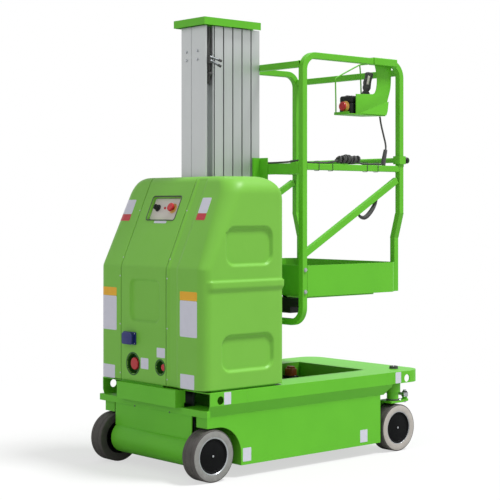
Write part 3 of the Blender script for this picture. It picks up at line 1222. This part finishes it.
@dataclass
class Platform:
    """Bolts, welds, floor relief and gate knob of the platform. Lengths in millimetres."""

    rear: float = -84.5
    fore: float = 604.5
    half: float = 388.0
    bar: float = 30.0
    mid: float = 1392.0
    cross: float = 1869.0
    low: float = 668.0
    pitch: float = 24.0
    gate_z: float = 1436.0

    def bead(self, at: Sequence[float], axis: Sequence[float], wide: float, high: float) -> Patch:
        """Weld round a tube's end: a bar along a rounded rectangle, its radius rising and falling.

        Args:
            at: middle of the tube's end.
            axis: direction of the tube.
            wide: size of the tube across.
            high: size of the tube upwards.

        Returns:
            The closed bead.
        """
        count = 96
        ring = dense(rounded_outline(wide + 0.6, high + 0.6, 4, 5), count)
        x, y = across(axis)
        path = np.asarray(at, float) + ring[:, :1] * x + ring[:, 1:] * y
        swell = 1.9 + 0.35 * np.sin(FULL_TURN * 22 * np.arange(count) / count)
        return tube(path, swell, 6, axis, closed=True)

    def welds(self) -> None:
        """Beads where the rails meet the posts."""
        post, b = self.half - self.bar / 2, self.bar
        beads = []
        for side in Side:
            y = side.value * post
            beads += [self.bead((x, y, self.mid), (1, 0, 0), b, b)
                      for x in (self.rear + b + 0.4, self.fore - b - 0.4)]
            beads.append(self.bead((self.rear + b / 2, side.value * (post - b / 2 - 0.4), self.cross),
                                   (0, 1, 0), b, b))
        cast("rail_welds", beads, PAINT, "platform", smooth=60)

    def floor(self) -> None:
        """Rolled floor plate: low lozenges, each turned by a right angle from its neighbours."""
        low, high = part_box("platform_floor")
        x = np.arange(low[0] / METRE + 34, high[0] / METRE - 30, self.pitch)
        y = np.arange(low[1] / METRE + 34, high[1] / METRE - 30, self.pitch)
        gx, gy = (g.reshape(-1, 1) for g in np.meshgrid(x, y, indexing="ij"))
        turn = (np.indices((len(x), len(y))).sum(0) % 2).reshape(-1, 1) * math.pi / 2 + math.pi / 4
        foot = np.array([(9, 0), (4, 2.4), (-4, 2.4), (-9, 0), (-4, -2.4), (4, -2.4)])
        form = np.concatenate([foot, foot * 0.72])
        rise = np.repeat([-0.4, 1.1], 6) + high[2] / METRE
        points = np.stack([
            gx + np.cos(turn) * form[:, 0] - np.sin(turn) * form[:, 1],
            gy + np.sin(turn) * form[:, 0] + np.cos(turn) * form[:, 1],
            np.broadcast_to(rise, (len(gx), 12)),
        ], -1).reshape(-1, 3)
        start = np.arange(len(gx))[:, None] * 12
        k = np.arange(6)
        walls = np.stack([k, (k + 1) % 6, (k + 1) % 6 + 6, k + 6], -1)
        faces = (start + 6 + k).tolist() + (start + k[::-1]).tolist()
        faces += (start[:, :, None] + walls[None]).reshape(-1, 4).tolist()
        cast("floor_tread", [(points, faces)], FLOOR, "platform", smooth=10)

    def fasteners(self) -> None:
        """Bolts through the rear posts into the floor frame."""
        parts = [part for side in Side for z in (913, 811)
                 for part in hex_bolt((-68, side.value * self.half, z), (0, side.value, 0), 9)]
        cast("post_bolts", parts, ZINC, "platform")

    def knob(self) -> None:
        """Black knob at the right end of the sliding mid bar."""
        turned = [(0, 0), (7.6, 0), (7.6, 13.4), (14.6, 13.4), (15.6, 15), (15.6, 33), (14.2, 35.6), (10, 36.6), (0, 36.6)]
        at = (self.fore + 6.8, self.bar / 2 - self.half, self.gate_z)
        cast("gate_knob", [lathe(turned, at, (1, 0, 0), 40)], HOUSING, "gate")

    def build(self) -> None:
        """Makes the welds, the floor relief, the bolts and the knob."""
        self.welds()
        self.floor()
        self.fasteners()
        self.knob()


# ---------------------------------------------------------------- control station


@dataclass
class ControlStation:
    """Control box in its tray on the right top rail, its joystick, stop button and cable."""

    box: tuple = (280.0, 492.5, -344.0, -258.0, 1655.0, 1743.0)
    stick: tuple[float, float, float] = (421.5, -301.0, 1743.0)
    rail: tuple[float, float] = (-373.0, 1407.0)
    sleeve: tuple[float, float] = (391.5, 553.5)
    tray: tuple[float, float, float] = (250.0, 504.5, 1655.0)
    plate_y: float = -358.0

    def carrier(self) -> None:
        """Sleeve over the top rail, side plate, tray with its slanting front edge, and wire guard."""
        s0, s1 = self.sleeve
        t0, t1, tz = self.tray
        y = self.plate_y
        cap = np.array([(-392.0, 1896), (-388, 1896), (-388, 1926), (y, 1926), (y, 1896), (y + 4, 1896), (y + 4, 1927),
                        (y + 1, 1930), (-389, 1930), (-392, 1927)])
        parts = [placed(slab(cap, s1 - s0, 0.4), (s0, 0, 0), (0, 1, 0), (0, 0, 1))]
        inner = smooth_path([(s0 + 40, 1896), (s0 + 50, 1862), (s0 + 55, 1820), (s0 + 50, 1784), (s0 + 40, 1763),
                             (s0 + 26, 1755)], 24)
        outer = smooth_path([(s0 + 128, tz + 72), (s0 + 143, 1768), (s0 + 151, 1800), (s0 + 154, 1850),
                             (s1 - 6, 1896)], 20)
        shape = np.concatenate([inner, [(t0 + 49, 1750), (t0 + 49, tz), (t1, tz)], outer])
        parts.append(placed(slab(shape, 4, 0.5), (0, y + 4, 0), (1, 0, 0), (0, 0, 1)))
        base = np.array([(t0, y), (t1, y), (t1 - 6, y + 12), (446, -254), (440, -250), (t0 + 6, -250), (t0, -256)])
        parts.append(placed(slab(base, 4, 0.5), (0, 0, tz - 4), (1, 0, 0), (0, 1, 0)))
        for a, b in (((t0, y + 1), (t0, -256)),):
            parts.append(brick((a[0], a[1], tz - 1), (b[0] + 3, b[1], tz + 9), 0.5, 1))
        guard = smooth_path([(265, -254, tz), (264, -254, 1740), (262, -254, 1815), (263, -254, 1827),
                             (275, -254, 1836), (350, -254, 1871), (420, -254, 1902), (432, -258, 1907),
                             (434, -270, 1907), (428, -320, 1906), (424, y + 4, 1905)], 120)
        stay = smooth_path([(431, -254, 1904), (436, -254, 1860), (441, -254, 1745), (441, -254, tz)], 40)
        parts += [tube(guard, 3.5, 12, (0.2, 0.3, 0.1)), tube(stay, 3.5, 12, (0, 1, 0))]
        piece = cast("control_carrier", parts, PAINT, "platform", smooth=40)
        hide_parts("control_bracket")

    def housing(self) -> None:
        """Two moulded shells with a seam, a button plate on top and two rocker switches."""
        x0, x1, y0, y1, z0, z1 = self.box
        mid = ((x0 + x1) / 2, (y0 + y1) / 2)
        lower = slab(rounded_outline(x1 - x0, y1 - y0, 12, 6), 50, 3, 4)
        upper = slab(rounded_outline(x1 - x0 - 2, y1 - y0 - 2, 12, 6), z1 - z0 - 51, 11, 6)
        seam = slab(rounded_outline(x1 - x0 - 6, y1 - y0 - 6, 10, 6), 3, 0.3)
        x, y = (1, 0, 0), (0, 1, 0)
        parts = [placed(lower, (*mid, z0 + 0.2), x, y), placed(upper, (*mid, z0 + 51), x, y),
                 placed(seam, (*mid, z0 + 49), x, y)]
        rockers = [placed(slab(rounded_outline(22, 15, 3, 4), 5, 1.4), (px, mid[1] + 14, z1 - 1), x, y)
                   for px in (314, 346)]
        piece = cast("control_housing", parts + rockers, HOUSING, "platform")
        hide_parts("control_box")
        plate = placed(slab(rounded_outline(76, 60, 6, 5), 0.8, 0.3), (332, mid[1], z1 - 0.6), x, y)
        cast("control_plate", [plate], PLATE, "platform")
        screws = [pan_screw((px, py, z1 - 0.2), (0, 0, 1), 5) for px in (299, 365) for py in (-326, -276)]
        cast("control_screws", screws, ZINC, "platform")

    def stop(self) -> None:
        """Stop button on the rear end, on its cream collar."""
        x0 = self.box[0]
        at, out = (x0, -304, 1691), (-1, 0, 0)
        collar = [(0, -1), (27, -1), (27, 2), (25.5, 4), (21, 5), (17, 12), (0, 12)]
        cast("stop_collar", [lathe(collar, at, out, 40)], AMBER, "platform")
        head = [(0, 8), (12, 8), (12, 13), (20, 14), (22, 16.5), (22, 21), (20.5, 24.5), (17, 25.8), (9, 25), (0, 24.8)]
        cast("stop_head", [lathe(head, at, out, 48)], RED, "platform")

    def joystick(self) -> None:
        """Boot with folds, grip with a trigger and a pale enable strip."""
        sx, sy, sz = self.stick
        t = np.linspace(0, 1, 41)
        folds = np.stack([35 - 20 * t**0.75 + 1.6 * np.cos(FULL_TURN * 4.5 * t), 30 * t], 1)
        boot = lathe(np.concatenate([[[0, -0.5], [35, -0.5]], folds, [[0, 31]]]), (sx, sy, sz), (0.12, 0, 1), 40)
        base = placed(slab(rounded_outline(84, 74, 12, 6), 5, 1.5), (sx, sy, sz - 2), (1, 0, 0), (0, 1, 0))
        path = smooth_path([(sx + 4, sy, sz + 24), (sx + 8, sy, sz + 42), (sx + 16, sy, sz + 74),
                            (sx + 25, sy, sz + 106), (sx + 29, sy, sz + 124)], 33)
        h = np.linspace(0, 1, 33)
        r = 13 + 7.5 * soft_step(h - 0.2, 0.24) - 2.6 * np.sin(math.pi * np.clip((h - 0.3) / 0.5, 0, 1))
        r = r * np.sqrt(1 - np.clip((h - 0.9) / 0.105, 0, 0.98) ** 2)
        grip = tube(path, r, 24, (0, 1, 0))
        trigger = tube(smooth_path([(sx - 5, sy, sz + 56), (sx - 9, sy, sz + 72), (sx + 1, sy, sz + 92)], 15),
                       5, 12, (0, 1, 0))
        cast("joystick", [boot, base, grip, trigger], RUBBER, "platform", smooth=50)
        strip = slab(rounded_outline(50, 11, 5, 5), 3, 1)
        along = np.array([0.26, 0.0, 0.966])
        side = np.array([-0.62, -0.78, 0.0])
        at = np.array([sx + 18, sy, sz + 84]) + side * 15.6
        cast("enable_strip", [placed(strip, at, along, np.cross(side, along))], PLATE, "platform")

    def fold(self) -> None:
        """Bent corner of the side plate, which leans out a little at its foot."""
        y = self.plate_y
        a = np.array([(322.0, y + 1, 1657.0), (502, y - 0.5, 1655), (511, y - 0.5, 1676), (528, y + 1, 1724)])
        b = a + [0, -1.0, 0]
        b[1:3, 1] -= 8.0
        faces = [[0, 1, 2, 3], [7, 6, 5, 4], [0, 4, 5, 1], [1, 5, 6, 2], [2, 6, 7, 3], [3, 7, 4, 0]]
        cast("plate_fold", [(np.concatenate([b, a]), faces)], PAINT, "platform")

    def cable(self) -> None:
        """Control cable along its clips, with the spare length tied up on the mid rail.

        The spare length is a helix of growing and shrinking radius about the rail's top.
        """
        y, z = self.rail
        drop = smooth_path([(490, -334, 1650), (495, -338, 1610), (503, -346, 1560), (508, -354, 1520),
                            (503, -362, 1494), (492, -369, 1476), (486, y, 1462)], 44)
        run = smooth_path([(466, y, z + 6), (400, y + 2, z + 5), (330, y - 2, z + 5), (300, y, z + 12)], 30)
        t = np.linspace(0, 1, 200)
        turns = 9
        swell = 14 + 5 * np.sin(math.pi * t) + 2.5 * np.sin(FULL_TURN * 7.3 * t)
        coil = np.stack([
            292 - 130 * t + 5 * np.sin(FULL_TURN * 5 * t),
            y + swell * np.cos(FULL_TURN * turns * t),
            z + 25 + 0.9 * swell * np.sin(FULL_TURN * turns * t),
        ], 1)
        core = [tube(smooth_path([(296, y + dy, z + dz), (230, y - dy, z + dz + 6), (158, y + dy, z + dz)], 24), 6, 8)
                for dy, dz in ((-8, 20), (7, 17), (0, 31), (-6, 12), (8, 27))]
        away = smooth_path([(166, y, z + 20), (130, y, z + 12), (90, y, z + 6), (0, y, z + 5), (-44, y, z + 6),
                            (-70, y + 34, z + 14), (-72.5, y + 90, z + 9), (-72.5, y + 180, z + 7),
                            (-72.5, -108.5, z + 7)], 90)
        parts = [tube(p, 4.5, 10) for p in (drop, run, away)]
        parts.append(tube(coil, 5, 8, (1, 0, 0)))
        piece = cast("control_cord", parts + core, RUBBER, "platform", smooth=60)
        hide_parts("control_cable")
        boot = smooth_path([(490, y + 1, 1484), (483, y, 1460), (476, y, 1432), (472, y, 1409)], 14)
        band = dense(rounded_outline(34, 45, 5, 4), 48)
        ties = [tube(np.stack([np.full(48, x), y + band[:, 0], z - 10 + band[:, 1]], 1), 1.3, 6, (1, 0, 0), closed=True)
                for x in (110, 20, 345, 420)]
        cast("cord_ties", [tube(boot, np.linspace(9.5, 12, 14), 16)] + ties, RUBBER, "platform",
             smooth=60)
        loop = smooth_path([(306, -364, 1172), (320, -368, 1154), (352, -369, 1150), (388, -368, 1172),
                            (418, -368, 1208), (434, -366, 1248), (436, -362, 1276)], 50)
        bend = np.sin(np.linspace(0, math.pi, 50))[:, None]
        strands = [tube(loop + np.array(off) * bend, 6, 10) for off in ((0, 0, 0), (-5.0, 4, 9), (-2, -4, 8))]
        cast("hanging_loop", strands, RUBBER, "platform")

    def build(self) -> None:
        """Makes the carrier, the control box and all on it."""
        self.carrier()
        self.housing()
        self.stop()
        self.joystick()
        self.fold()
        self.cable()


def main() -> None:
    """Builds the scene, sub-assembly by sub-assembly."""
    logging.basicConfig(level=logging.INFO, format="%(name)s: %(message)s")
    Studio().build()
    dress(["chassis_deck", "side_skirts", "battery_tray", "rear_panel", "axle_guard", "mast_cap", "carriage",
           "hoop_left", "hoop_right", "platform_rails", "toe_boards", "control_bracket", "gate_bar"], PAINT)
    dress(["mast_1", "mast_2", "mast_3", "mast_4", "mast_5", "mast_6"], ALLOY)
    dress(["battery_pack"], BATTERY)
    dress(["deck_buffer", "mast_hoses", "control_cable"], RUBBER)
    dress(["buffer_beam", "control_box"], HOUSING)
    dress(["platform_floor"], FLOOR)
    dress(["ground_panel"], PLATE)
    dress(["charger_inlet"], BLUE)
    dress(["release_knobs"], RED)
    Chassis().build()
    RunningGear().build()
    covers = Covers()
    covers.build()
    GroundControls(covers).build()
    Labels(covers).build()
    Mast().build()
    Platform().build()
    ControlStation().build()


if __name__ == "__main__":
    main()
